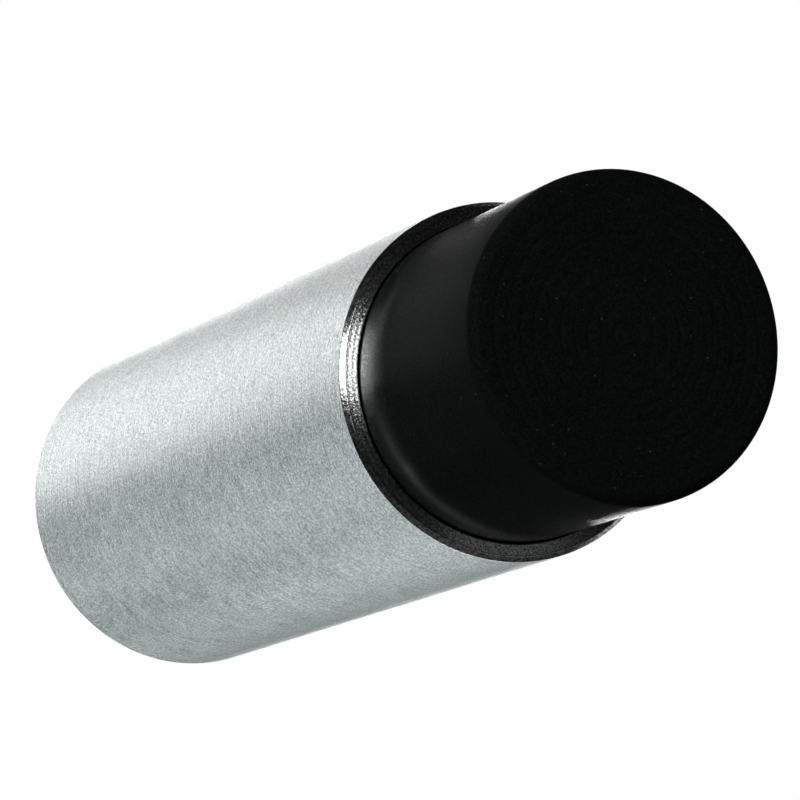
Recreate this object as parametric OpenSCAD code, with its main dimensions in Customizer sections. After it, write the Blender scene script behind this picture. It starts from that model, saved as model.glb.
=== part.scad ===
// Wall door stop: a satin tube pulled home over a wall hub by one hidden screw, with a push-in rubber buffer.
// The wall is the XZ plane, +Z is up and the stop points along -Y. The origin is the centre of the wall face.
// Lengths are in millimetres. Places along the stop are distances from the wall.

/* [Tube] */
// Outside diameter of the tube
tube_d = 30; // [26:0.5:40]
// Thickness of the tube's wall
tube_wall = 1.5; // [1.2:0.1:2.5]
// Length of the tube
tube_len = 75; // [62:1:120]
// Chamfer round the outside of the front rim
rim_chamfer = 0.4; // [0.1:0.05:0.5]
// Chamfer round the bore at both ends
bore_chamfer = 0.05; // [0.05:0.05:0.5]
// Chamfer round the outside of the wall end
wall_end_chamfer = 0.4; // [0.1:0.05:0.8]

/* [Buffer] */
// How far the rubber stands out of the tube
buffer_reach = 23; // [10:0.5:40]
// How far the rubber goes into the tube
buffer_stem = 18; // [14:0.5:30]
// Gap all round between the rubber and the bore at the rim
buffer_gap = 0.1; // [0.05:0.05:1]
// How much further out the rubber reaches at its front than at the rim
buffer_flare = 0.1; // [0:0.01:0.6]
// Rounding of the front edge
buffer_edge_r = 1; // [0.4:0.1:3]
// Gap all round between the stem and the bore, between the ribs
stem_gap = 0.7; // [0.5:0.05:1.5]
// Number of grip ribs round the stem
rib_count = 3; // [1:1:4]
// Width of a grip rib at its foot
rib_w = 2; // [1:0.1:3]
// Spacing of the rings on the front face
ring_pitch = 1.15; // [0.8:0.05:3]
// Width of a ring's groove
ring_groove_w = 0.5; // [0.2:0.05:0.6]
// Depth of a ring's groove
ring_groove_depth = 0.15; // [0.05:0.01:0.4]

/* [Wall hub] */
// Thickness of the hub's disc
hub_disc_t = 8; // [5:0.5:12]
// Length of the hub with its boss
hub_len = 22; // [18:0.5:28]
// Wall of the hub's boss round its tapped hole
hub_boss_wall = 1.45; // [1:0.05:2]
// Lead-in chamfer round the front of the hub's disc
hub_chamfer = 0.4; // [0.2:0.1:1]
// Diameter of the two wall screw holes
wall_screw_d = 4.5; // [3.5:0.1:5]
// Diameter of the countersinks for the wall screws
countersink_d = 8; // [6:0.1:8.6]

/* [Buffer seat] */
// Thickness of the seat disc
seat_t = 8; // [4:0.5:12]
// Chamfer round the seat disc
seat_chamfer = 0.5; // [0.2:0.1:1]

/* [Retaining ring] */
// Thickness of the retaining ring
retainer_t = 1.2; // [0.8:0.1:2]
// Width of the retaining ring
retainer_w = 2.2; // [1.8:0.1:3]
// Depth of the ring's groove in the tube
retainer_groove = 0.7; // [0.4:0.05:0.8]
// Diameter of the ring's two lugs
lug_d = 4; // [3.5:0.1:5]
// Diameter of the plier holes in the lugs
lug_hole_d = 2; // [1:0.1:2.5]
// Angle between the centres of the two lugs
lug_angle = 44; // [36:1:70]

/* [Clamp screw] */
// Diameter of the clamp screw
screw_d = 6; // [4:0.5:8]
// How far the screw goes into the hub's boss
screw_grip = 11.8; // [8:0.1:14]
// Diameter of the screw's head
head_d = 10; // [8:0.5:12]
// Height of the screw's head
head_h = 6; // [4:0.5:8]
// Hex key size across the flats
socket_af = 5; // [3:0.5:6]
// Depth of the hex socket
socket_depth = 3; // [2:0.5:4]
// Chamfer on the screw's tip and head
screw_chamfer = 0.6; // [0.2:0.1:1]

/* [Washers] */
// Diameter of the flat washer
washer_d = 12; // [10:0.5:14]
// Thickness of the flat washer
washer_t = 1.6; // [1:0.1:2]
// Diameter of the spring washer
spring_washer_d = 11.4; // [9:0.1:13]
// Thickness of the spring washer
spring_washer_t = 1.6; // [1:0.1:2]
// Width of the slit in the spring washer
slit_w = 0.8; // [0.4:0.1:1.5]
// Slant of the slit
slit_slant = 20; // [0:1:30]

/* [Clearances] */
// Gap all round between the hub and the bore
slide_gap = 0.08; // [0.03:0.01:0.2]
// Gap all round between the seat disc and the bore
seat_gap = 0.03; // [0.01:0.01:0.1]
// Gap all round between a grip rib and the bore
rib_gap = 0.06; // [0.03:0.01:0.2]
// Gap all round between the screw and its tapped hole
thread_gap = 0.05; // [0.02:0.01:0.1]
// Gap all round between the screw and the seat's hole
screw_hole_gap = 0.3; // [0.2:0.05:0.5]
// Gap all round between the screw and the washers
washer_gap = 0.2; // [0.1:0.05:0.4]
// Gap between the retaining ring and its groove
retainer_gap = 0.1; // [0.05:0.01:0.2]
// Room round and over the screw's head inside the rubber
head_room = 1.8; // [1:0.1:3]
// Room under the screw's tip in the tapped hole
tip_room = 2.2; // [1:0.1:4]

/* [Hidden] */
$fn = 96;
edge_steps = 8;
past = 1;

tube_r = tube_d / 2;
bore_r = tube_r - tube_wall;
front = tube_len + buffer_reach;

// Stack inside the tube, from the rubber back towards the wall
seat_front = tube_len - buffer_stem;
seat_back = seat_front - seat_t;
retainer_back = seat_back - retainer_t;
groove_r = bore_r + retainer_groove;
retainer_r = groove_r - retainer_gap;

// Stack on the seat's front, from the seat out towards the rubber
spring_washer_back = seat_front + washer_t;
head_back = spring_washer_back + spring_washer_t;
head_front = head_back + head_h;
recess_front = head_front + head_room;
recess_r = max(washer_d, spring_washer_d, head_d) / 2 + head_room;

hub_r = bore_r - slide_gap;
tapped_r = screw_d / 2 + thread_gap;
boss_r = tapped_r + hub_boss_wall;
wall_screw_x = (boss_r + hub_r) / 2;
screw_tip = hub_len - screw_grip;
countersink_depth = (countersink_d - wall_screw_d) / 2;

buffer_base_r = bore_r - buffer_gap;
buffer_front_r = buffer_base_r + buffer_flare;
face_r = buffer_front_r - buffer_edge_r;
stem_r = bore_r - stem_gap;
rib_r = bore_r - rib_gap;
rib_pitch = buffer_stem / (rib_count + 1);
ring_count = floor((face_r - ring_groove_w / 2) / ring_pitch);

// Turns a piece drawn upwards from the wall so that it points along -Y, lifted to its distance from the wall
module from_wall(distance = 0) {
    rotate([90, 0, 0])
        translate([0, 0, distance])
            children();
}

// Ring or disc with a hole, standing on its back face
module holed_disc(r, hole_r, t) {
    difference() {
        cylinder(r = r, h = t);
        translate([0, 0, -past])
            cylinder(r = hole_r, h = t + 2 * past);
    }
}

module tube() {
    section = [
        [bore_r, bore_chamfer],
        [bore_r + bore_chamfer, 0],
        [tube_r - wall_end_chamfer, 0],
        [tube_r, wall_end_chamfer],
        [tube_r, tube_len - rim_chamfer],
        [tube_r - rim_chamfer, tube_len],
        [bore_r + bore_chamfer, tube_len],
        [bore_r, tube_len - bore_chamfer],
        [bore_r, seat_back + retainer_gap],
        [groove_r, seat_back + retainer_gap],
        [groove_r, retainer_back],
        [bore_r, retainer_back],
    ];
    color("silver")
        from_wall()
            rotate_extrude()
                polygon(section);
}

// Outline of the rubber: the recess, back to the seat, out along the ribbed stem and round to the face
module buffer() {
    ribs = [
        for (i = [1 : rib_count], corner = [[stem_r, -1], [rib_r, 0], [stem_r, 1]])
            [corner[0], seat_front + i * rib_pitch + corner[1] * rib_w / 2]
    ];
    edge = [
        for (i = [0 : edge_steps])
            let (a = 90 * i / edge_steps)
                [face_r + buffer_edge_r * cos(a), front - buffer_edge_r * (1 - sin(a))]
    ];
    rings = [
        for (i = [ring_count : -1 : 1], corner = [[1, 0], [0, ring_groove_depth], [-1, 0]])
            [i * ring_pitch + corner[0] * ring_groove_w / 2, front - corner[1]]
    ];
    step = abs(stem_gap - buffer_gap);
    section = concat(
        [[0, recess_front], [recess_r, recess_front], [recess_r, seat_front], [stem_r, seat_front]],
        ribs,
        [[stem_r, tube_len - step], [buffer_base_r, tube_len]],
        edge,
        rings,
        [[0, front]]
    );
    color("#161818")
        from_wall()
            rotate_extrude()
                polygon(section);
}

module wall_hub() {
    section = [
        [0, 0],
        [hub_r, 0],
        [hub_r, hub_disc_t - hub_chamfer],
        [hub_r - hub_chamfer, hub_disc_t],
        [boss_r, hub_disc_t],
        [boss_r, hub_len],
        [0, hub_len],
    ];
    color("lightgray")
        from_wall()
            difference() {
                rotate_extrude()
                    polygon(section);
                translate([0, 0, screw_tip - tip_room])
                    cylinder(r = tapped_r, h = hub_len);
                for (side = [-1, 1])
                    translate([side * wall_screw_x, 0, 0])
                        wall_screw_hole();
            }
}

// Plain hole through the hub's disc, countersunk on the side away from the wall
module wall_screw_hole() {
    translate([0, 0, -past])
        cylinder(d = wall_screw_d, h = hub_disc_t + 2 * past);
    translate([0, 0, hub_disc_t - countersink_depth])
        cylinder(d1 = wall_screw_d, d2 = countersink_d, h = countersink_depth);
    translate([0, 0, hub_disc_t])
        cylinder(d = countersink_d, h = past);
}

module clamp_screw() {
    shank_r = screw_d / 2;
    head_r = head_d / 2;
    section = [
        [0, screw_tip],
        [shank_r - screw_chamfer, screw_tip],
        [shank_r, screw_tip + screw_chamfer],
        [shank_r, head_back],
        [head_r, head_back],
        [head_r, head_front - screw_chamfer],
        [head_r - screw_chamfer, head_front],
        [0, head_front],
    ];
    color("gray")
        from_wall()
            difference() {
                rotate_extrude()
                    polygon(section);
                translate([0, 0, head_front - socket_depth])
                    cylinder(d = socket_af / cos(30), h = socket_depth + past, $fn = 6);
            }
}

module flat_washer() {
    color("gainsboro")
        from_wall(seat_front)
            holed_disc(washer_d / 2, screw_d / 2 + washer_gap, washer_t);
}

// Split ring, drawn tightened flat, with a slanted slit at the top
module spring_washer() {
    slit_h = 3 * spring_washer_t;
    color("dimgray")
        from_wall(spring_washer_back)
            difference() {
                holed_disc(spring_washer_d / 2, screw_d / 2 + washer_gap, spring_washer_t);
                translate([0, spring_washer_d / 4 + past, spring_washer_t / 2])
                    rotate([0, slit_slant, 0])
                        cube([slit_w, spring_washer_d / 2 + past, slit_h], center = true);
            }
}

module buffer_seat() {
    hole_r = screw_d / 2 + screw_hole_gap;
    rim_r = bore_r - seat_gap;
    section = [
        [hole_r, seat_back],
        [rim_r - seat_chamfer, seat_back],
        [rim_r, seat_back + seat_chamfer],
        [rim_r, seat_front - seat_chamfer],
        [rim_r - seat_chamfer, seat_front],
        [hole_r, seat_front],
    ];
    color("darkgray")
        from_wall()
            rotate_extrude()
                polygon(section);
}

// Internal ring, open at the bottom between two lugs with plier holes
module retaining_ring() {
    lug_at = retainer_r - retainer_w / 2 - lug_d / 2;
    half_gap = (lug_angle - asin(lug_d / 2 / lug_at) * 2) / 2;
    color("slategray")
        from_wall(retainer_back)
            difference() {
                union() {
                    difference() {
                        holed_disc(retainer_r, retainer_r - retainer_w, retainer_t);
                        gap_wedge(half_gap);
                    }
                    lugs(lug_at, lug_d, 0);
                }
                lugs(lug_at, lug_hole_d, past);
            }
}

// Wedge that opens the ring, as wide each side of the bottom as the angle given
module gap_wedge(half_angle) {
    reach = 2 * tube_r;
    translate([0, 0, -past])
        linear_extrude(retainer_t + 2 * past)
            polygon([
                [0, 0],
                [-reach * sin(half_angle), -reach * cos(half_angle)],
                [reach * sin(half_angle), -reach * cos(half_angle)],
            ]);
}

// A round post at each lug's place, longer than the ring is thick by the overlap given at each end
module lugs(at, d, overlap) {
    for (side = [-1, 1])
        rotate([0, 0, side * lug_angle / 2])
            translate([0, -at, -overlap])
                cylinder(d = d, h = retainer_t + 2 * overlap);
}

tube();
buffer();
wall_hub();
clamp_screw();
flat_washer();
spring_washer();
buffer_seat();
retaining_ring();
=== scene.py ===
# %% [markdown]
# # A wall door stop
# The object is a satin steel tube, cut square, with a black rubber plug standing out of its open end. A
# hidden screw pulls the tube home over a hub on the wall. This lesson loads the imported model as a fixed
# frame and dresses it: smooth surfaces worked out with numpy, finishes written as shader maths, and a
# white studio.

# %% Load the frame
import math

import bmesh
import bpy
import numpy as np
from mathutils import Matrix, Vector


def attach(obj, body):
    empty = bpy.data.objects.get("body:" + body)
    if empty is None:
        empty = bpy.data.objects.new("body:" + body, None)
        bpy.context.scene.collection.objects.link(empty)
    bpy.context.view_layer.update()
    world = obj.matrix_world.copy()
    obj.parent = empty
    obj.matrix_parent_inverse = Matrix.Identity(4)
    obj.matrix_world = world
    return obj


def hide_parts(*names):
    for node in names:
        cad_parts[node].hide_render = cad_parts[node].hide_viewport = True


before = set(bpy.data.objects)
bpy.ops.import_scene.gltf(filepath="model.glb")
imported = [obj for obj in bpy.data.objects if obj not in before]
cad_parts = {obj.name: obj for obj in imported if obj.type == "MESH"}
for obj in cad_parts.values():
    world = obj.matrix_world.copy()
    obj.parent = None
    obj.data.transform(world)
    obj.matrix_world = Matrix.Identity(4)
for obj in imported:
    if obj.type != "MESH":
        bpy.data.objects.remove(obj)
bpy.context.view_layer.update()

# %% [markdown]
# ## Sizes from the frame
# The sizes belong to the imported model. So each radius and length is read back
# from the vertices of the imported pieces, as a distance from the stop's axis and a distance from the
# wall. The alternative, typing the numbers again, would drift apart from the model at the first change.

MM = 0.001
TOUCH = 0.01 * MM


def places(node):
    """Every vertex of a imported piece: across, distance from the wall, and up."""
    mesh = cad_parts[node].data
    points = np.empty(3 * len(mesh.vertices))
    mesh.vertices.foreach_get("co", points)
    return points.reshape(-1, 3) * (1, -1, 1)


def spans(node):
    """Distance from the axis, and from the wall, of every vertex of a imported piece."""
    across, distance, up = places(node).T
    return np.hypot(across, up), distance


def ring_at(node, distance):
    """Smallest and largest radius of a piece's vertices at one distance from the wall."""
    radius, along = spans(node)
    found = radius[np.abs(along - distance) < TOUCH]
    return found.min(), found.max()


def reach(node):
    """Smallest and largest distance from the wall of a piece's vertices."""
    along = spans(node)[1]
    return along.min(), along.max()


tube_radius, tube_along = spans("tube")
tube_r = tube_radius.max()
bore_r = tube_radius.min()
tube_len = tube_along.max()
rim_inner_r, rim_outer_r = ring_at("tube", tube_len)
wall_end_inner_r, wall_end_outer_r = ring_at("tube", 0)
print(f"tube {2e3 * tube_r:.1f} mm across, {1e3 * tube_len:.1f} mm long, bore {2e3 * bore_r:.1f} mm")

# %% [markdown]
# ## Outlines
# Nearly every piece was turned on a lathe or moulded round an axis, so its shape is one outline in
# radius and distance from the wall. Real edges are never sharp: each corner gets a small arc, and a
# spare point just beyond each end of the arc keeps the shading of the flat beside it flat. A Bevel
# modifier would do the same job, but it can't give every corner its own size.

# %% Round an outline
ARC_STEPS = 5
SPARE = 1.6


def corner_arc(before, corner, after, setback, steps=ARC_STEPS):
    """Arc that starts and ends the setback away from a corner and touches both its edges.

    It is a weighted mean of start, corner and end with weights (1-s)^2, 2s(1-s)w and s^2, where w is
    the sine of half the corner's angle, which makes the curve a true circle.
    """
    back = (before - corner) / np.linalg.norm(before - corner)
    on = (after - corner) / np.linalg.norm(after - corner)
    half_sine = math.sqrt(max(0.0, (1 - back @ on) / 2))
    s = np.linspace(0, 1, steps + 1)[:, None]
    share = np.hstack([(1 - s) ** 2, 2 * s * (1 - s) * half_sine, s ** 2])
    ends = np.array([corner + setback * back, corner, corner + setback * on])
    arc = share @ ends / share.sum(1, keepdims=True)
    return np.vstack([corner + SPARE * setback * back, arc, corner + SPARE * setback * on])


def rounded(corners, closed=False):
    """Outline through corners of (radius, distance, setback) and their arcs. Setback 0 keeps the point."""
    points = np.array([corner[:2] for corner in corners])
    count = len(points)
    parts = []
    for i, (radius, distance, setback) in enumerate(corners):
        at_end = not closed and i in (0, count - 1)
        if setback == 0 or at_end:
            parts.append(points[i:i + 1])
        else:
            parts.append(corner_arc(points[i - 1], points[i], points[(i + 1) % count], setback))
    return np.vstack(parts)


# %% [markdown]
# ## Surfaces from grids
# Every new surface is a grid of points: one parameter runs along an outline, the other round the axis.
# The grid is worked out as whole arrays and handed to the mesh in one call. Where a row shrinks to the
# axis it becomes one shared pole, and where two grids meet, points in the same place become one, so
# that each skin is closed.

# %% Grids
AROUND = 192
round_angle = np.linspace(0, 2 * math.pi, AROUND, endpoint=False)


def round_points(radius, distance, angle=round_angle):
    """Points (r cos a, -d, r sin a) of radius r, distance d from the wall and angle a round the axis."""
    radius, distance, angle = np.broadcast_arrays(radius, distance, angle)
    return np.stack([radius * np.cos(angle), -distance, radius * np.sin(angle)], axis=-1)


def skin(points, rows_close=False, columns_close=True):
    """The points of a grid, row by row, with the four-sided faces between neighbours."""
    index = np.arange(points.shape[0] * points.shape[1]).reshape(points.shape[:2])
    if rows_close:
        index = np.vstack([index, index[:1]])
    if columns_close:
        index = np.hstack([index, index[:, :1]])
    corners = index[:-1, :-1], index[:-1, 1:], index[1:, 1:], index[1:, :-1]
    return points.reshape(-1, 3), np.stack(corners, axis=-1).reshape(-1, 4)


def turned(outline, closed=False):
    """The grid that an outline of radius and distance sweeps in one turn about the axis."""
    return skin(round_points(outline[:, :1], outline[:, 1:]), rows_close=closed)


# %% Meshes
SHARP_ANGLE = 40
SAME_PLACE = 1e-7


def make_mesh(name, skins, finishes=0):
    """One closed mesh of several skins: doubles merged, faces outwards, and edges over the limit sharp."""
    starts = np.cumsum([0] + [len(points) for points, faces in skins])
    points = np.vstack([points for points, faces in skins])
    faces = np.vstack([faces + start for (_, faces), start in zip(skins, starts)])
    spots, number = np.unique(np.round(points / SAME_PLACE), axis=0, return_inverse=True)
    sides = [list(dict.fromkeys(face)) for face in number.ravel()[faces].tolist()]
    mesh = bpy.data.meshes.new(name)
    mesh.from_pydata((spots * SAME_PLACE).tolist(), [], sides)
    mesh.polygons.foreach_set("material_index", np.broadcast_to(finishes, len(sides)).astype(np.int32))
    solid = bmesh.new()
    solid.from_mesh(mesh)
    bmesh.ops.recalc_face_normals(solid, faces=solid.faces)
    open_edges = sum(not edge.is_manifold for edge in solid.edges)
    volume = solid.calc_volume()
    solid.to_mesh(mesh)
    solid.free()
    mesh.shade_smooth()
    mesh.set_sharp_from_angle(angle=math.radians(SHARP_ANGLE))
    print(f"{name}: {len(sides)} faces, {volume / MM ** 3:.0f} mm3, open edges: {open_edges}")
    return mesh


def add_piece(mesh, body, slot, *nodes):
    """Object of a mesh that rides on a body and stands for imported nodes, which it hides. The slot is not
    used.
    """
    piece = bpy.data.objects.new(mesh.name, mesh)
    bpy.context.scene.collection.objects.link(piece)
    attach(piece, body)
    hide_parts(*nodes)
    return piece


# %% [markdown]
# ## The tube
# A stock steel tube: brushed round its girth, faced on a lathe at its front rim, and left as drawn in
# its bore. One closed outline gives the whole wall, with the groove for the retaining ring. The lathe
# left shallow rings across the rim, and they catch the light there, so they are modelled and not only
# painted.

# %% Tube outline
EDGE_BREAK = 0.06 * MM
RIM_WAVES = 2
RIM_WAVE_DEPTH = 0.01 * MM
TURN_MARKS = 18
TURN_DEPTH = 0.01 * MM
MARK_POINTS = 6
RING_SLACK = 0.1 * MM

ring_r = spans("retaining_ring")[0].max()
ring_back, ring_front = reach("retaining_ring")


def lathe_rings():
    """Rim from its outer to its inner edge: the face dips by a wide cosine of the radius and a fine one."""
    margin = SPARE * EDGE_BREAK
    s = np.linspace(0, 1, TURN_MARKS * MARK_POINTS + 1)
    radius = rim_outer_r - margin - s * (rim_outer_r - rim_inner_r - 2 * margin)
    wide = RIM_WAVE_DEPTH * (1 - np.cos(2 * math.pi * RIM_WAVES * s)) / 2
    fine = TURN_DEPTH * (1 - np.cos(2 * math.pi * TURN_MARKS * s)) / 2
    return np.column_stack([radius, tube_len - wide - fine])[1:-1]


def tube_outline():
    """The wall's closed outline: wall end, outside, rim, bore and the ring's groove."""
    rim_middle = ((rim_inner_r + rim_outer_r) / 2, tube_len, 0)
    bore_chamfer = rim_inner_r - bore_r
    groove_r = ring_r + RING_SLACK
    outside = rounded([
        (bore_r, tube_len / 2, 0),
        (bore_r, bore_chamfer, EDGE_BREAK),
        (wall_end_inner_r, 0, EDGE_BREAK),
        (wall_end_outer_r, 0, EDGE_BREAK),
        (tube_r, tube_r - wall_end_outer_r, EDGE_BREAK),
        (tube_r, tube_len - (tube_r - rim_outer_r), EDGE_BREAK),
        (rim_outer_r, tube_len, EDGE_BREAK),
        rim_middle,
    ])[1:-1]
    inside = rounded([
        rim_middle,
        (rim_inner_r, tube_len, EDGE_BREAK),
        (bore_r, tube_len - bore_chamfer, EDGE_BREAK),
        (bore_r, ring_front + RING_SLACK, EDGE_BREAK),
        (groove_r, ring_front + RING_SLACK, EDGE_BREAK),
        (groove_r, ring_back, EDGE_BREAK),
        (bore_r, ring_back, EDGE_BREAK),
        (bore_r, tube_len / 2, 0),
    ])[1:-1]
    return np.vstack([outside, lathe_rings(), inside])


# %% Tube mesh
outline = tube_outline()
middle = (outline + np.roll(outline, -1, axis=0)) / 2
on_end = (middle[:, 1] < TOUCH) | (middle[:, 1] > tube_len - (tube_r - rim_outer_r) - TOUCH)
in_bore = ~on_end & (middle[:, 0] < (tube_r + bore_r) / 2)
finish_of_row = np.select([on_end, in_bore], [1, 2], 0)
tube_mesh = make_mesh("tube_shell", [turned(outline, closed=True)], np.repeat(finish_of_row, AROUND))
tube_shell = add_piece(tube_mesh, "stop", "satin_steel", "tube")

# %% [markdown]
# ## The rubber buffer
# A moulded plug: a head with a slight flare, a stem with three grip ribs that is pushed into the tube,
# and a recess that leaves room for the screw's head. Faint rings run round its face, as a turned mould
# leaves them. It is one outline again, from the pole in the recess round to the pole of the face.

# %% Buffer sizes
buffer_radius, buffer_along = spans("buffer")
stem_back, front = reach("buffer")
head_base_r = ring_at("buffer", tube_len)[1]
head_front_r = buffer_radius[buffer_along > tube_len].max()
face_r = ring_at("buffer", front)[1]
edge_r = head_front_r - face_r
recess_r, stem_r = ring_at("buffer", stem_back)
rib_r = buffer_radius[buffer_along < tube_len - TOUCH].max()
in_recess = (np.abs(buffer_radius - recess_r) < TOUCH) & (buffer_along < tube_len)
recess_front = buffer_along[in_recess].max()
print(f"head {2e3 * head_base_r:.2f} to {2e3 * head_front_r:.2f} mm across, reach {1e3 * front:.1f} mm")

# %% Buffer outline
RIB_COUNT = 3
RIB_WIDTH = 2 * MM
RIB_ROUND = 0.3 * MM
STEM_ROUND = 0.25 * MM
FACE_RING_PITCH = 1.15 * MM
FACE_RING_WIDTH = 0.6 * MM
FACE_RING_DEPTH = 0.05 * MM
FACE_RING_POINTS = 12
HEAD_EDGE_STEPS = 12


def face_rings():
    """Front face from its edge to the axis: at each pitch, a groove as deep as a cosine of the radius."""
    count = int((face_r - FACE_RING_WIDTH) / FACE_RING_PITCH)
    groove = FACE_RING_PITCH * np.arange(count, 0, -1)
    s = np.linspace(0.5, -0.5, FACE_RING_POINTS + 1)
    radius = (groove[:, None] + FACE_RING_WIDTH * s).ravel()
    dip = np.tile(FACE_RING_DEPTH * (1 + np.cos(2 * math.pi * s)) / 2, count)
    return np.column_stack([radius, front - dip])


def buffer_outline():
    """From the recess's pole: recess, back, ribbed stem, neck, flared side, round edge and ringed face."""
    pitch = (tube_len - stem_back) / (RIB_COUNT + 1)
    ribs = [
        (radius, stem_back + i * pitch + side * RIB_WIDTH / 2, RIB_ROUND)
        for i in range(1, RIB_COUNT + 1)
        for radius, side in ((stem_r, -1), (rib_r, 0), (stem_r, 1))
    ]
    back = rounded([
        (0, recess_front, 0),
        (recess_r, recess_front, STEM_ROUND),
        (recess_r, stem_back, STEM_ROUND),
        (stem_r, stem_back, STEM_ROUND),
        *ribs,
        (stem_r, tube_len - (head_base_r - stem_r), STEM_ROUND / 2),
        (head_base_r, tube_len, STEM_ROUND / 2),
        (head_front_r, front - edge_r, 0),
    ])[:-1]
    base, corner, centre = np.array([[head_base_r, tube_len], [head_front_r, front], [0, front]])
    head = corner_arc(base, corner, centre, edge_r, HEAD_EDGE_STEPS)
    return np.vstack([back, head, face_rings(), [[0, front]]])


# %% Buffer mesh
buffer_mesh = make_mesh("rubber_buffer", [turned(buffer_outline())])
rubber_buffer = add_piece(buffer_mesh, "bumper", "black_rubber", "buffer")

# %% [markdown]
# ## The wall hub
# The hub is turned from aluminium bar: a disc that two countersunk screws hold to the wall, and a boss
# with the tapped hole that the clamp screw pulls on. The two screw holes break the roundness, so a
# plain turned outline can't give the disc's faces. A boolean could cut the holes, but it leaves long
# thin faces that shade badly. Here each hole gets its own grid, drawn on rays from the hole's centre
# out to the edge of its sector of the face.

# %% Hub sizes
hub_points = places("wall_hub")
hub_radius, hub_along = spans("wall_hub")
hub_r = hub_radius.max()
hub_back, boss_front = reach("wall_hub")
tapped_r, boss_r = ring_at("wall_hub", boss_front)
disc_front = hub_along[hub_radius > boss_r + TOUCH].max()
disc_edge_r = ring_at("wall_hub", disc_front)[1]
tapped_back = hub_along[np.abs(hub_radius - tapped_r) < TOUCH].min()


def right_hole(distance, edge_r):
    """Centre and radius of the right-hand screw hole in the face at a distance from the wall."""
    on_face = np.abs(hub_along - distance) < TOUCH
    on_right = (hub_points[:, 0] > boss_r) & (hub_radius < edge_r - TOUCH)
    across = hub_points[on_face & on_right, 0]
    return (across.max() + across.min()) / 2, (across.max() - across.min()) / 2


hole_x, hole_r = right_hole(hub_back, hub_r)
sink_r = right_hole(disc_front, disc_edge_r)[1]
print(f"hub {2e3 * hub_r:.2f} mm, screw holes {2e3 * hole_r:.1f} mm at {1e3 * hole_x:.2f} mm from the axis")

# %% Holed disc
HOLE_COLUMNS = 30
SIDE_STEPS = 10
SPREAD_STEPS = 5
HUB_BREAK = 0.12 * MM
FLAT_MARGIN = 0.25 * MM

sector_half = HOLE_COLUMNS * 2 * math.pi / AROUND
flat_inner_r = boss_r + FLAT_MARGIN
flat_outer_r = disc_edge_r - FLAT_MARGIN


def sector_edge():
    """Closed walk round a sector of the face: outer arc, in along one side, inner arc, and out again."""
    arc = np.linspace(-sector_half, sector_half, 2 * HOLE_COLUMNS + 1)
    side = np.linspace(flat_inner_r, flat_outer_r, SIDE_STEPS + 1)[1:-1]
    outer = np.full(len(arc), flat_outer_r)
    inner = np.full(len(arc), flat_inner_r)
    end = np.full(len(side), sector_half)
    radius = np.concatenate([outer, side[::-1], inner, side])
    angle = np.concatenate([arc, end, arc[::-1], -end])
    return radius * np.cos(angle), radius * np.sin(angle)


def holed_sector():
    """Rows from the front face's sector edge to the hole, through it, and out over the back face.

    Each row is a mean of the sector's edge and a circle about the hole, on the same rays from its centre.
    """
    across, up = sector_edge()
    ray = np.arctan2(up, across - hole_x)
    hole = rounded([
        (sink_r + FLAT_MARGIN, disc_front, 0),
        (sink_r, disc_front, HUB_BREAK),
        (hole_r, disc_front - (sink_r - hole_r), HUB_BREAK),
        (hole_r, hub_back, HUB_BREAK),
        (hole_r + FLAT_MARGIN, hub_back, 0),
    ])
    spread = np.linspace(1, 0, SPREAD_STEPS + 1)[:-1]
    share = np.concatenate([spread, np.zeros(len(hole)), spread[::-1]])[:, None]
    radius, distance = np.vstack([hole[[0] * SPREAD_STEPS], hole, hole[[-1] * SPREAD_STEPS]]).T[:, :, None]
    row_x = share * across + (1 - share) * (hole_x + radius * np.cos(ray))
    row_z = share * up + (1 - share) * radius * np.sin(ray)
    return np.stack([row_x, -distance + 0 * row_x, row_z], axis=-1)


def plain_sector(distance, start):
    """Flat grid of radius and angle between the two holed sectors, starting at an angle."""
    angle = start + np.linspace(sector_half, math.pi - sector_half, AROUND // 2 - 2 * HOLE_COLUMNS + 1)
    radius = np.linspace(flat_inner_r, flat_outer_r, SIDE_STEPS + 1)[:, None]
    return skin(round_points(radius, distance, angle), columns_close=False)


# %% Tapped boss
THREAD_PITCH = 1.0 * MM
THREAD_STEPS = 8
THREAD_STEEP = 1.3
THREAD_FLAT = 0.15
TAP_DEPTH = 0.18 * MM


def thread_wave(distance, angle):
    """Depth share of a right-hand thread: a triangle wave of distance over pitch less turns, with flats."""
    turn = distance / THREAD_PITCH - angle / (2 * math.pi)
    return np.clip(THREAD_STEEP * np.abs(2 * (turn % 1) - 1) - THREAD_FLAT, 0, 1)


def tapped_boss():
    """Boss from the disc's face out to its tip, then down the tapped hole to the pole at its drilled end.

    In the hole the radius grows by the tap's depth times the thread's wave, fading out at both ends.
    """
    outside = rounded([
        (flat_inner_r, disc_front, 0),
        (boss_r, disc_front, HUB_BREAK),
        (boss_r, boss_front, HUB_BREAK),
        (tapped_r + TAP_DEPTH, boss_front, HUB_BREAK / 2),
        (tapped_r, boss_front - 2 * TAP_DEPTH, 0),
    ])
    tapped_from, tapped_to = boss_front - THREAD_PITCH / 2, tapped_back + 2 * THREAD_PITCH
    rows = round((tapped_from - tapped_to) / THREAD_PITCH * THREAD_STEPS)
    distance = np.linspace(tapped_from, tapped_to, rows + 1)[:, None]
    fade = np.clip(np.minimum(tapped_from - distance, distance - tapped_to) / THREAD_PITCH, 0, 1)
    thread = round_points(tapped_r + TAP_DEPTH * fade * thread_wave(distance, round_angle), distance)
    drilled = rounded([
        (tapped_r, tapped_to, 0),
        (tapped_r, tapped_back + tapped_r / 2, HUB_BREAK),
        (0, tapped_back, 0),
    ])[1:]
    parts = [round_points(part[:, :1], part[:, 1:]) for part in (outside, drilled)]
    return skin(np.vstack([parts[0], thread, parts[1]]))


# %% Hub mesh
CENTRE_DRILL_R = 1.0 * MM

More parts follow.
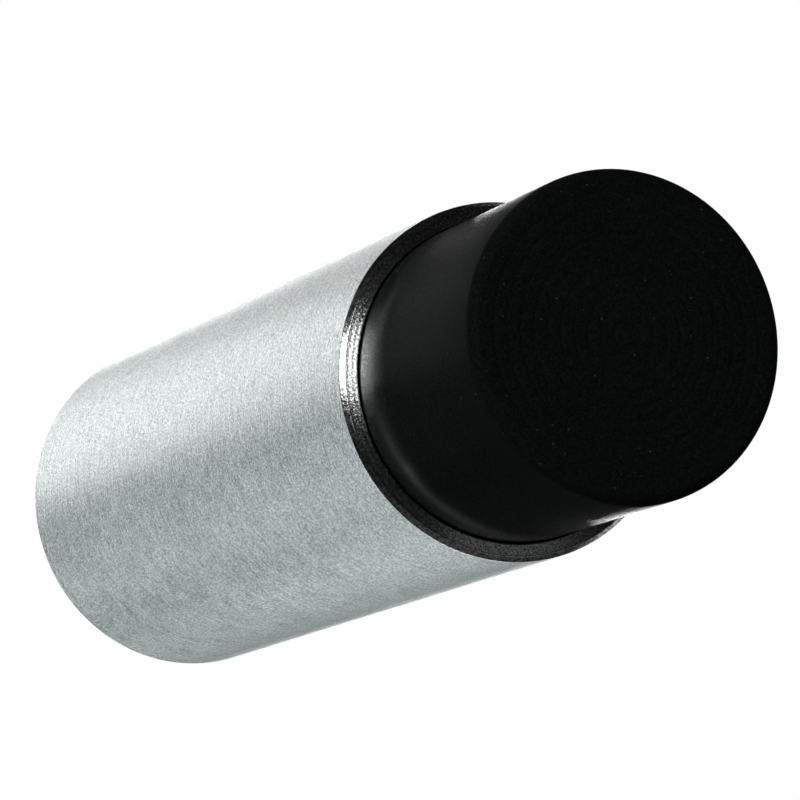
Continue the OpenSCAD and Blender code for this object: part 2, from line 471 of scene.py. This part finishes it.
disc_rim = turned(rounded([
    (flat_outer_r, disc_front, 0),
    (disc_edge_r, disc_front, HUB_BREAK),
    (hub_r, disc_front - (hub_r - disc_edge_r), HUB_BREAK),
    (hub_r, hub_back, HUB_BREAK),
    (flat_outer_r, hub_back, 0),
]))
back_centre = turned(rounded([
    (flat_inner_r, hub_back, 0),
    (CENTRE_DRILL_R, hub_back, HUB_BREAK),
    (0, hub_back + CENTRE_DRILL_R, 0),
]))
right_sector, sector_faces = skin(holed_sector())
left_sector = right_sector * (-1, 1, -1)
hub_skins = [
    (right_sector, sector_faces), (left_sector, sector_faces), disc_rim, back_centre, tapped_boss(),
    *(plain_sector(distance, start) for distance in (hub_back, disc_front) for start in (0, math.pi)),
]
hub_turned = add_piece(make_mesh("hub_turned", hub_skins), "wall_base", "turned_aluminium", "wall_hub")

# %% [markdown]
# ## The clamp screw
# A long socket cap screw: threaded at its tip, plain along the middle, with a knurled head and a hex
# socket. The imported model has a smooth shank. Here one grid runs from the pole of the tip to the pole
# of the socket, and its radius also depends on the angle: as a helix on the thread, as ridges on the
# head and as six flats in the socket.

# %% Screw sizes
screw_radius, screw_along = spans("clamp_screw")
screw_tip, head_front = reach("clamp_screw")
head_r = screw_radius.max()
head_back = screw_along[screw_radius > head_r - TOUCH].min()
shank_r = screw_radius[screw_along < head_back - TOUCH].max()
tip_r = ring_at("clamp_screw", screw_tip)[1]
socket_corner_r, head_edge_r = ring_at("clamp_screw", head_front)
in_socket = (np.abs(screw_radius - socket_corner_r) < TOUCH) & (screw_along > head_back)
socket_back = screw_along[in_socket].min()
print(f"screw {2e3 * shank_r:.1f} mm, {1e3 * (head_back - screw_tip):.1f} mm long under its head")

# %% Screw rows
THREAD_LENGTH = 24 * MM
THREAD_DEPTH = 0.55 * MM
CREST_SLACK = 0.03 * MM
KNURLS = 64
KNURL_DEPTH = 0.12 * MM
HEAD_LEAD = 1 * MM
SCREW_BREAK = 0.15 * MM
SOCKET_LEAD = 0.25 * MM
SOCKET_FLOOR = 0.96
TIP_FLAT = 0.9


def screw_thread():
    """Thread rows: the crest's radius less depth times wave, cut by the tip's cone, with a run-out."""
    rows = round(THREAD_LENGTH / THREAD_PITCH * THREAD_STEPS)
    distance = screw_tip + np.linspace(0, THREAD_LENGTH, rows + 1)[:, None]
    run_out = np.clip((screw_tip + THREAD_LENGTH - distance) / THREAD_PITCH, 0, 1)
    radius = shank_r - CREST_SLACK - THREAD_DEPTH * run_out * thread_wave(distance, round_angle)
    return round_points(np.minimum(radius, tip_r + distance - screw_tip), distance)


def knurled_head():
    """Head rows: the outline's radius, less a triangle wave of the angle for the ridges of its side."""
    outline = rounded([
        (shank_r, head_back - HEAD_LEAD, 0),
        (shank_r, head_back, SCREW_BREAK),
        (head_r, head_back, SCREW_BREAK),
        (head_r, head_front - (head_r - head_edge_r), SCREW_BREAK),
        (head_edge_r, head_front, SCREW_BREAK),
        (socket_corner_r + SOCKET_LEAD, head_front, 0),
    ])
    radius, distance = outline[:, :1], outline[:, 1:]
    ridge = np.abs(2 * (KNURLS * round_angle / (2 * math.pi) % 1) - 1)
    straight = np.abs(radius - head_r) < TOUCH
    return round_points(radius - KNURL_DEPTH * straight * ridge, distance)


def hex_socket():
    """Socket rows: a cone down to six flats, each half the width over the cosine of the angle from it."""
    half_width = socket_corner_r * math.cos(math.pi / 6)
    flats = half_width / np.cos(round_angle % (math.pi / 3) - math.pi / 6)
    radius = np.vstack([flats, flats, flats, SOCKET_FLOOR * flats, 0 * flats])
    lead = socket_corner_r + SOCKET_LEAD - flats
    distance = np.vstack([
        head_front - lead,
        head_front - lead - SCREW_BREAK,
        socket_back + SCREW_BREAK + 0 * flats,
        socket_back + 0 * flats,
        socket_back + 0 * flats,
    ])
    return round_points(radius, distance)


# %% Screw mesh
tip = round_points(np.array([[0], [TIP_FLAT * tip_r]]), screw_tip)
screw_rows = np.vstack([tip, screw_thread(), knurled_head(), hex_socket()])
screw_mesh = make_mesh("cap_screw", [skin(screw_rows)])
cap_screw = add_piece(screw_mesh, "clamp", "zinc_plated_steel", "clamp_screw")

# %% [markdown]
# ## Seat and washers
# The seat is a turned disc across the tube, the flat washer is punched from plate, and both are closed
# outlines. The spring washer is a split ring, so it's a rounded section carried round the axis from one
# face of its slit to the other. The slit slants, which means that each point of the section starts and
# stops at its own angle.

# %% Seat and flat washer meshes
SEAT_BREAK = 0.12 * MM
WASHER_ROUND = 0.3 * MM
WASHER_BREAK = 0.08 * MM

seat_back, seat_front = reach("buffer_seat")
seat_hole_r, seat_face_r = ring_at("buffer_seat", seat_front)
seat_r = spans("buffer_seat")[0].max()
seat_chamfer = seat_r - seat_face_r
seat_outline = rounded([
    (seat_hole_r, seat_back, SEAT_BREAK),
    (seat_face_r, seat_back, SEAT_BREAK),
    (seat_r, seat_back + seat_chamfer, SEAT_BREAK),
    (seat_r, seat_front - seat_chamfer, SEAT_BREAK),
    (seat_face_r, seat_front, SEAT_BREAK),
    (seat_hole_r, seat_front, SEAT_BREAK),
], closed=True)
seat_mesh = make_mesh("seat_disc", [turned(seat_outline, closed=True)])
seat_disc = add_piece(seat_mesh, "stop", "turned_aluminium", "buffer_seat")

washer_back, washer_front = reach("flat_washer")
washer_hole_r, washer_r = ring_at("flat_washer", washer_front)
washer_outline = rounded([
    (washer_hole_r, washer_back, WASHER_BREAK),
    (washer_r, washer_back, WASHER_BREAK),
    (washer_r, washer_front, WASHER_ROUND),
    (washer_hole_r, washer_front, WASHER_ROUND),
], closed=True)
washer_mesh = make_mesh("punched_washer", [turned(washer_outline, closed=True)])
punched_washer = add_piece(washer_mesh, "stop", "zinc_plated_steel", "flat_washer")

# %% Spring washer mesh
SLIT_WIDTH = 0.8 * MM
SLIT_SLANT = math.radians(20)
SPRING_STEPS = 120
SPRING_ROUND = 0.2 * MM
END_SIZE = 0.93
END_INSET = 0.002

spring_back, spring_front = reach("spring_washer")
spring_hole_r, spring_r = ring_at("spring_washer", spring_front)


def slit_angle(radius, distance, side):
    """Angle at which a slanting slit face at the ring's top cuts a radius: arccosine of across over r."""
    across = (distance - (spring_back + spring_front) / 2) * math.tan(SLIT_SLANT)
    return np.arccos((across + side * SLIT_WIDTH / 2 / math.cos(SLIT_SLANT)) / radius)


def split_ring():
    """The section carried round: each point's angle runs evenly between the slit faces. Poles cap it."""
    section = rounded([
        (spring_hole_r, spring_back, SPRING_ROUND),
        (spring_r, spring_back, SPRING_ROUND),
        (spring_r, spring_front, SPRING_ROUND),
        (spring_hole_r, spring_front, SPRING_ROUND),
    ], closed=True)
    centre = section.mean(0)
    size = np.concatenate([[0, END_SIZE], np.ones(SPRING_STEPS + 1), [END_SIZE, 0]])[:, None]
    even = np.linspace(END_INSET, 1 - END_INSET, SPRING_STEPS + 1)
    way = np.concatenate([[0, 0], even, [1, 1]])[:, None]
    radius, distance = (centre[i] + size * (section[:, i] - centre[i]) for i in (0, 1))
    start = slit_angle(radius, distance, -1)
    stop = slit_angle(radius, distance, 1) + 2 * math.pi
    return round_points(radius, distance, start + way * (stop - start))


spring_mesh = make_mesh("split_spring_washer", [skin(split_ring())])
split_washer = add_piece(spring_mesh, "stop", "spring_steel", "spring_washer")

# %% [markdown]
# ## Shader maths
# A finish is a sum of patterns, so it reads best as a formula. The class below wraps an output socket:
# adding or multiplying two of them adds a Math node and returns its output. Every other node comes from
# one method.

# %% Shader expressions
class Wire:
    """An output socket. Arithmetic on wires and numbers adds Math nodes."""

    def __init__(self, tree, socket=None):
        self.tree = tree
        self.socket = socket

    def node(self, kind, settings=None, inputs=None, output=0):
        """Adds a node: first its settings, then the numbers or wires of its inputs. Returns one output."""
        made = self.tree.nodes.new(kind)
        for name, value in (settings or {}).items():
            setattr(made, name, value)
        for name, value in (inputs or {}).items():
            if isinstance(value, Wire):
                self.tree.links.new(value.socket, made.inputs[name])
            else:
                made.inputs[name].default_value = value
        return Wire(self.tree, made.outputs[output])

    def math(self, operation, first, second):
        """Math node of two numbers or wires."""
        return self.node("ShaderNodeMath", {"operation": operation}, {0: first, 1: second})

    def __add__(self, other):
        return self.math("ADD", self, other)

    def __sub__(self, other):
        return self.math("SUBTRACT", self, other)

    def __rsub__(self, other):
        return self.math("SUBTRACT", other, self)

    def __mul__(self, other):
        return self.math("MULTIPLY", self, other)

    def __truediv__(self, other):
        return self.math("DIVIDE", self, other)

    def __pow__(self, other):
        return self.math("POWER", self, other)

    __radd__ = __add__
    __rmul__ = __mul__

    def outputs(self):
        """All the outputs of the node that this wire comes from."""
        return [Wire(self.tree, socket) for socket in self.socket.node.outputs]

    def parts(self):
        """The three numbers of a vector."""
        return self.node("ShaderNodeSeparateXYZ", inputs={0: self}).outputs()

    def grain(self, across, along, detail=2.0, roughness=0.5):
        """Soft random number from 0 to 1 whose spots have a size across and along the stop, in metres."""
        stretch = (1 / across, 1 / along, 1 / across)
        scaled = self.node("ShaderNodeVectorMath", {"operation": "MULTIPLY"}, {0: self, 1: stretch})
        return self.node(
            "ShaderNodeTexNoise", {"normalize": True},
            {"Vector": scaled, "Scale": 1.0, "Detail": detail, "Roughness": roughness},
        )

    def marks(self, size):
        """Random number from 0 to 1 along one number, with steps of about a size."""
        return self.node(
            "ShaderNodeTexNoise", {"noise_dimensions": "1D", "normalize": True},
            {"W": self / size, "Scale": 1.0, "Detail": 2.0},
        )

    def step(self, low, high):
        """Smooth step from 0 at low to 1 at high."""
        return self.node(
            "ShaderNodeMapRange", {"interpolation_type": "SMOOTHSTEP"},
            {"Value": self, "From Min": low, "From Max": high},
        )

    def tint(self, dark, light):
        """Colour between two colours, which may be wires."""
        dark, light = (c if isinstance(c, Wire) else (*c, 1.0) for c in (dark, light))
        return self.node("ShaderNodeMix", {"data_type": "RGBA"}, {0: self, 6: dark, 7: light}, 2)

    def bump(self, depth):
        """Normal of a surface raised by this number times a depth in metres."""
        return self.node("ShaderNodeBump", inputs={"Strength": 1.0, "Distance": depth, "Height": self})


# %% Finishes from formulas
def finish(name, paint, **constants):
    """Material of one Principled shader: constants set on its sockets, and what varies linked by paint."""
    material = bpy.data.materials.new(name)
    material.use_nodes = True
    tree = material.node_tree
    shader = tree.nodes["Principled BSDF"]
    for socket, value in constants.items():
        shader.inputs[socket.replace("_", " ").title().replace("Ior", "IOR")].default_value = value
    place = Wire(tree).node("ShaderNodeTexCoord", output="Object")
    for socket, wire in paint(place).items():
        tree.links.new(wire.socket, shader.inputs[socket])
    print(f"{name}: {len(tree.nodes)} nodes")
    return material


def axis_radius(place):
    """Distance from the stop's axis: the root of across squared plus up squared."""
    across, along, up = place.parts()
    return (across * across + up * up) ** 0.5


# %% [markdown]
# ## Satin steel
# The tube was brushed round its girth with a fine abrasive belt. Close up, that is a fine speckle of
# bright and dark, with hairs a millimetre or two long that run round the tube. Noise on Object
# coordinates gives the speckle, and noise stretched round the tube gives the hairs. A smooth step
# hardens both, and they drive colour and bump alike, so that the steel glints. An image of scratches
# could do it too, but it would repeat, and blur close up. The rim shows turned rings and the bore shows
# drawing marks along the tube.

# %% Steel finishes
HARD = (0.3, 0.7)
STEEL_DARK = (0.2, 0.234, 0.234)
STEEL_LIGHT = (0.955, 1.0, 0.995)
RIM_DARK = (0.1, 0.11, 0.11)
RIM_LIGHT = (0.95, 0.98, 0.98)
BORE_DARK = (0.3, 0.31, 0.31)
BORE_LIGHT = (0.74, 0.76, 0.76)
STEEL_RELIEF = 0.006 * MM


def brushed_steel(place):
    """A fine speckle and hairs round the tube, both with hard contrast, over a slow cloudiness."""
    speckle = place.grain(0.17 * MM, 0.18 * MM, 1.0).step(*HARD)
    hairs = place.grain(1.6 * MM, 0.16 * MM, 1.0).step(*HARD)
    cloud = place.grain(9 * MM, 5 * MM)
    shade = 0.64 * speckle + 0.3 * hairs + 0.06 * cloud
    return {
        "Base Color": shade.tint(STEEL_DARK, STEEL_LIGHT),
        "Roughness": 0.37 + 0.1 * hairs + 0.06 * cloud,
        "Normal": (0.5 * speckle + 0.5 * hairs).bump(STEEL_RELIEF),
    }


def turned_steel(place):
    """Lathe rings: noise of the radius alone, broken up by a speckle of hard contrast."""
    rings = axis_radius(place).marks(0.09 * MM)
    speckle = place.grain(0.2 * MM, 0.2 * MM).step(*HARD)
    return {
        "Base Color": (0.25 * rings + 0.75 * speckle).tint(RIM_DARK, RIM_LIGHT),
        "Roughness": 0.13 + 0.07 * speckle,
        "Normal": (0.3 * rings + 0.7 * speckle).bump(STEEL_RELIEF),
    }


def drawn_steel(place):
    """Drawing marks: noise stretched along the bore, with a little dullness in patches."""
    marks = place.grain(0.18 * MM, 7 * MM)
    patches = place.grain(3 * MM, 6 * MM)
    return {
        "Base Color": (0.7 * marks + 0.3 * patches).tint(BORE_DARK, BORE_LIGHT),
        "Roughness": 0.28 + 0.2 * patches,
        "Normal": marks.bump(STEEL_RELIEF),
    }


# %% Steel on the tube
satin = finish("brushed_satin_steel", brushed_steel, metallic=1.0)
rim_steel = finish("turned_steel_rim", turned_steel, metallic=1.0)
bore_steel = finish("drawn_steel_bore", drawn_steel, metallic=1.0)
for material in (satin, rim_steel, bore_steel):
    tube_shell.data.materials.append(material)

# %% [markdown]
# ## Black rubber
# Moulded rubber is nearly black, and its gloss shows mostly where the surface turns away from the eye.
# A very low specular level gives that: dark sides with bright edges. It's never quite even: the mould's
# skin is clouded, a fine grain breaks the gloss, and a few specks of dust cling to it. Next to the rim
# the rubber is wiped smooth and mirrors the steel, which a coat gives, and towards its front the knocks
# of doors have dulled it.

# %% Rubber finish
RUBBER_DARK = (0.0018, 0.0024, 0.0022)
RUBBER_LIGHT = (0.0072, 0.0085, 0.0081)
RUBBER_RELIEF = 0.014 * MM
DUST = (0.05, 0.05, 0.048)
DUST_RARE = (0.84, 0.9)
POLISH_REACH = 6.4 * MM
WEAR = (15 * MM, 25 * MM)


def moulded_rubber(place):
    """Cloudy black with a fine grain, and rare light specks where a noise passes a high threshold.

    The coat is the square of a smooth step that falls from 1 at the rim to 0 a few millimetres out, and
    another step roughens the front.
    """
    cloud = place.grain(5 * MM, 5 * MM)
    pebble = place.grain(0.16 * MM, 0.16 * MM, 1.0).step(*HARD)
    dust = place.grain(0.22 * MM, 0.22 * MM, 0.0).step(*DUST_RARE)
    skin_colour = (0.7 * pebble + 0.3 * cloud).tint(RUBBER_DARK, RUBBER_LIGHT)
    across, along, up = place.parts()
    from_rim = 0 - along - tube_len
    polish = 1 - from_rim.step(0, POLISH_REACH)
    worn = from_rim.step(*WEAR)
    return {
        "Base Color": dust.tint(skin_colour, DUST),
        "Roughness": 0.18 + 0.12 * cloud + 0.06 * pebble + 0.16 * worn,
        "Coat Weight": polish ** 2,
        "Normal": pebble.bump(RUBBER_RELIEF),
    }


black = finish(
    "moulded_black_rubber", moulded_rubber,
    specular_ior_level=0.0028, coat_roughness=0.2, coat_ior=2.0,
)
rubber_buffer.data.materials.append(black)

# %% [markdown]
# ## Finishes of the hidden parts
# The hub and seat are bright aluminium with the fine rings of a lathe tool on flats and round sides
# alike: noise of radius plus distance runs in rings on both. Zinc plate is a cool, slightly milky
# bright grey. The spring washer and the retaining ring are phosphated, which is a dark crystal skin
# with a dull sheen of oil.

# %% Finishes of the hidden parts
ALUMINIUM_DARK = (0.5, 0.505, 0.51)
ALUMINIUM_LIGHT = (0.88, 0.885, 0.885)
ZINC_BLUE = (0.56, 0.6, 0.67)
ZINC_YELLOW = (0.68, 0.68, 0.62)
ZINC_DULL = (0.36, 0.38, 0.4)
PHOSPHATE_DARK = (0.05, 0.05, 0.053)
PHOSPHATE_LIGHT = (0.14, 0.14, 0.145)
CRISP = (0.35, 0.65)
OIL_EDGE = (0.4, 0.6)
TOOL_RELIEF = 0.012 * MM
PLATE_RELIEF = 0.003 * MM
CRYSTAL_RELIEF = 0.004 * MM


def turned_aluminium(place):
    """Tool marks: noise of radius plus distance from the wall, with a faint grain."""
    across, along, up = place.parts()
    tool = (axis_radius(place) - along).marks(0.11 * MM)
    speckle = place.grain(0.15 * MM, 0.15 * MM)
    return {
        "Base Color": (0.6 * tool + 0.4 * speckle).tint(ALUMINIUM_DARK, ALUMINIUM_LIGHT),
        "Roughness": 0.24 + 0.14 * tool,
        "Normal": tool.bump(TOOL_RELIEF),
    }


def zinc_plate(place):
    """Milky cool grey: a slow cloud shifts it from blue to yellow, and a fine grain dulls it."""
    cloud = place.grain(2.5 * MM, 2.5 * MM)
    speckle = place.grain(0.1 * MM, 0.1 * MM)
    hue = cloud.step(*CRISP).tint(ZINC_BLUE, ZINC_YELLOW)
    return {
        "Base Color": (0.3 * speckle).tint(hue, ZINC_DULL),
        "Roughness": 0.22 + 0.2 * speckle,
        "Normal": speckle.bump(PLATE_RELIEF),
    }


def phosphated_steel(place):
    """Dark crystals: a fine noise with hard contrast, over a slow change from dry to oily."""
    crystals = place.grain(0.07 * MM, 0.07 * MM, 3.0, 0.7).step(*CRISP)
    oil = place.grain(3 * MM, 3 * MM).step(*OIL_EDGE)
    return {
        "Base Color": crystals.tint(PHOSPHATE_DARK, PHOSPHATE_LIGHT),
        "Roughness": 0.55 - 0.2 * oil,
        "Normal": crystals.bump(CRYSTAL_RELIEF),
    }


# %% Dress the hidden parts
aluminium = finish("turned_aluminium_rings", turned_aluminium, metallic=1.0)
zinc = finish("bright_zinc_plate", zinc_plate, metallic=1.0)
phosphate = finish("dark_phosphate", phosphated_steel, metallic=0.7)
for piece, material in (
    (hub_turned, aluminium), (seat_disc, aluminium), (cap_screw, zinc), (punched_washer, zinc),
    (split_washer, phosphate),
):
    piece.data.materials.append(material)
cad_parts["retaining_ring"].material_slots[0].material = phosphate

# %% [markdown]
# ## Camera
# The photo was taken from the left and slightly below. Its angle and lens come from fitting the circles
# of the rim and of the face and the straight edges of the tube, and the place of the rim's centre in
# the view fixes the rest.

# %% Camera
CAMERA_AZIMUTH = math.radians(-22.87)
CAMERA_ELEVATION = math.radians(-9.5)
LENS = 264.26
SENSOR_WIDTH = 36
CLIP = (0.01, 100)
RIM_IN_VIEW = Vector((8.992, 1.581, -482.39)) * MM
scene = bpy.context.scene


def camera_turn(azimuth, elevation):
    """Rotation of a camera that looks along +Y at azimuth 0, level at elevation 0 and never leans."""
    ca, sa = math.cos(azimuth), math.sin(azimuth)
    ce, se = math.cos(elevation), math.sin(elevation)
    return Matrix(((ca, -sa * se, sa * ce), (sa, ca * se, -ca * ce), (0, ce, se)))


camera_data = bpy.data.cameras.new("camera")
camera_data.lens = LENS
camera_data.sensor_width = SENSOR_WIDTH
camera_data.clip_start, camera_data.clip_end = CLIP
camera = bpy.data.objects.new("camera", camera_data)
scene.collection.objects.link(camera)
turn = camera_turn(CAMERA_AZIMUTH, CAMERA_ELEVATION)
rim_centre = Vector((0, -tube_len, 0))
camera.matrix_world = Matrix.Translation(rim_centre - turn @ RIM_IN_VIEW) @ turn.to_4x4()
scene.camera = camera
print("camera at", [round(part, 3) for part in camera.location])

# %% [markdown]
# ## Studio
# The photo has a pure white ground, soft light from behind on the left, above and below, and a dark
# room in front and on the left, which the rim and the rubber mirror. So the world is white to the
# camera everywhere, and mirrored rays meet a softer white on the right, which fades out towards the
# front. Elsewhere the world gives only a dim, even light.

# %% World
WHITE = (1, 1, 1, 1)
AMBIENT = 0.008
WHITE_SIDE = (0.2, 0.8)
SIDE_WHITE = 0.6
NOT_IN_FRONT = (-0.7, 0.0)


def ray_kinds(net):
    """Two masks from the light path: rays from the camera, and rays mirrored or passed on by a surface."""
    rays = {wire.socket.name: wire for wire in net.node("ShaderNodeLightPath").outputs()}
    mirrored = net.math("MAXIMUM", rays["Is Glossy Ray"], rays["Is Transmission Ray"])
    return rays["Is Camera Ray"], mirrored


world = bpy.data.worlds.new("white_studio")
scene.world = world
world.use_nodes = True
net = Wire(world.node_tree)
seen, mirrored = ray_kinds(net)
across, along, up = net.node("ShaderNodeTexCoord", output="Generated").parts()
side = across.step(*WHITE_SIDE) * along.step(*NOT_IN_FRONT)
white = net.math("MAXIMUM", seen, SIDE_WHITE * mirrored * side)
strength = white + (1 - white) * AMBIENT
background = world.node_tree.nodes["Background"]
background.inputs["Color"].default_value = WHITE
world.node_tree.links.new(strength.socket, background.inputs["Strength"])
print(f"{world.name}: {len(world.node_tree.nodes)} nodes")

# %% [markdown]
# ## Lamps
# Lamps are soft boxes that the camera doesn't see. A satin tube shows each of them as a bright line
# along it, where its surface faces halfway between lamp and camera. The key is small and close, behind
# on the left, so its line is narrow and fades towards the front, and key_front fills in beside it. Two
# boxes light the tube's upper edge, and four cool ones its underside. back_right draws the bright edges
# of the rubber, left_front strikes the turned rim, and low_front lifts the dark side of the rim a
# little. A narrow spread keeps light off the floor in front, which the rim mirrors.

# %% Lamps
STOP_MIDDLE = Vector((0, -0.05, 0))
COOL = (0.94, 1.0, 1.0)


def towards(x, y, z, distance):
    """Place at a distance from the stop's middle in a direction."""
    return STOP_MIDDLE + distance * Vector((x, y, z)).normalized()


def softbox(name, place, size, power, spread=180, colour=(1, 1, 1)):
    """Rectangular lamp that faces the stop's middle, out of the camera's sight.

    Its size is in metres, its power in watts, and its spread, the angle of the fan of light, in degrees.
    """
    lamp = bpy.data.lights.new(name, "AREA")
    lamp.shape = "RECTANGLE"
    lamp.size, lamp.size_y = size
    lamp.energy = power
    lamp.color = colour
    lamp.spread = math.radians(spread)
    box = bpy.data.objects.new(name, lamp)
    scene.collection.objects.link(box)
    box.location = place
    box.rotation_euler = (STOP_MIDDLE - Vector(place)).to_track_quat("-Z", "Y").to_euler()
    box.visible_camera = False
    return box


lamps = [
    softbox("key", towards(-0.39, 0.86, 0.3, 0.2), (0.1, 0.1), 0.05),
    softbox("key_front", towards(-0.75, 0.5, 0.38, 0.5), (0.3, 0.3), 0.38),
    softbox("top", towards(0, 0.6, 0.8, 0.5), (0.3, 0.3), 0.055, spread=60),
    softbox("top_rear", towards(0.02, 0.9, 0.43, 0.6), (0.25, 0.25), 0.155),
    softbox("low_left", towards(-0.42, 0.66, -0.62, 0.5), (0.3, 0.3), 0.29, colour=COOL),
    softbox("low_left_rear", towards(-0.65, 0.53, -0.27, 0.55), (0.3, 0.3), 0.34, colour=COOL),
    softbox("wall_end", towards(-0.34, 0.925, -0.175, 0.2), (0.08, 0.08), 0.006, colour=COOL),
    softbox("low", towards(0.1, 0.5, -0.6, 0.5), (0.3, 0.3), 0.49, colour=COOL),
    softbox("back_right", towards(0.38, 0.91, 0.165, 0.6), (0.2, 0.2), 0.13, spread=40),
    softbox("left_front", towards(-0.7, -0.68, 0.21, 0.5), (0.5, 0.2), 0.42, spread=60),
    softbox("low_front", towards(0.38, -0.75, -0.5, 0.5), (0.3, 0.3), 0.05),
]
print(f"{len(lamps)} lamps, {sum(box.data.energy for box in lamps):.2f} W in all")

# %% [markdown]
# ## Floor
# The floor lies well below, because a wall stop hangs in the air. It's pale: to the camera it is mostly
# its own white glow, with enough of the real light on its grey paint to keep the stop's shadow. The
# glow grows to full white further out, so that the floor's edge doesn't show, and the floor is clear
# from underneath. Mirrored rays meet a white band of it that lies behind the stop, which lights the
# tube's underside.

# %% Floor paint
FLOOR_GREY = (0.5, 0.5, 0.5, 1)
FLOOR_SEEN = 0.85
FLOOR_FADE = (0.5, 1.6)
FLOOR_MIRRORED = 0.72
FLOOR_WHITE_FROM = (0.0, 0.15)
FLOOR_WHITE_TO = (0.3, 0.5)


def pale_floor():
    """Grey paint mixed with a white glow for seen and mirrored rays, and clear from underneath."""
    material = bpy.data.materials.new("pale_floor")
    material.use_nodes = True
    tree = material.node_tree
    tree.nodes.remove(tree.nodes["Principled BSDF"])
    net = Wire(tree)
    seen, mirrored = ray_kinds(net)
    across, along, up = net.node("ShaderNodeTexCoord", output="Object").parts()
    near = along.step(*FLOOR_WHITE_FROM) - along.step(*FLOOR_WHITE_TO)
    far = ((across * across + along * along) ** 0.5).step(*FLOOR_FADE)
    share = FLOOR_SEEN + (1 - FLOOR_SEEN) * far
    glowing = net.math("MAXIMUM", share * seen, FLOOR_MIRRORED * mirrored * near)
    under = net.node("ShaderNodeNewGeometry", output="Backfacing")
    paint = net.node("ShaderNodeBsdfDiffuse", inputs={"Color": FLOOR_GREY})
    glow = net.node("ShaderNodeEmission", inputs={"Color": WHITE, "Strength": 1.0})
    lit = net.node("ShaderNodeMixShader", inputs={0: glowing, 1: paint, 2: glow})
    clear = net.node("ShaderNodeBsdfTransparent")
    one_sided = net.node("ShaderNodeMixShader", inputs={0: under, 1: lit, 2: clear})
    tree.links.new(one_sided.socket, tree.nodes["Material Output"].inputs["Surface"])
    return material


# %% Floor mesh
FLOOR_DROP = 0.6
FLOOR_HALF = 2.0

ends = np.array([-FLOOR_HALF, FLOOR_HALF])
floor_grid = np.stack(np.broadcast_arrays(ends, ends[:, None], -FLOOR_DROP), axis=-1)
floor_points, floor_faces = skin(floor_grid, columns_close=False)
floor_mesh = bpy.data.meshes.new("floor")
floor_mesh.from_pydata(floor_points.tolist(), [], floor_faces.tolist())
floor_mesh.materials.append(pale_floor())
floor = bpy.data.objects.new("floor", floor_mesh)
scene.collection.objects.link(floor)
print("floor faces up:", floor_mesh.polygons[0].normal.z > 0)

# %% [markdown]
# ## Colours
# The plain Standard view keeps colours as written.

# %% Colours
scene.view_settings.view_transform = "Standard"
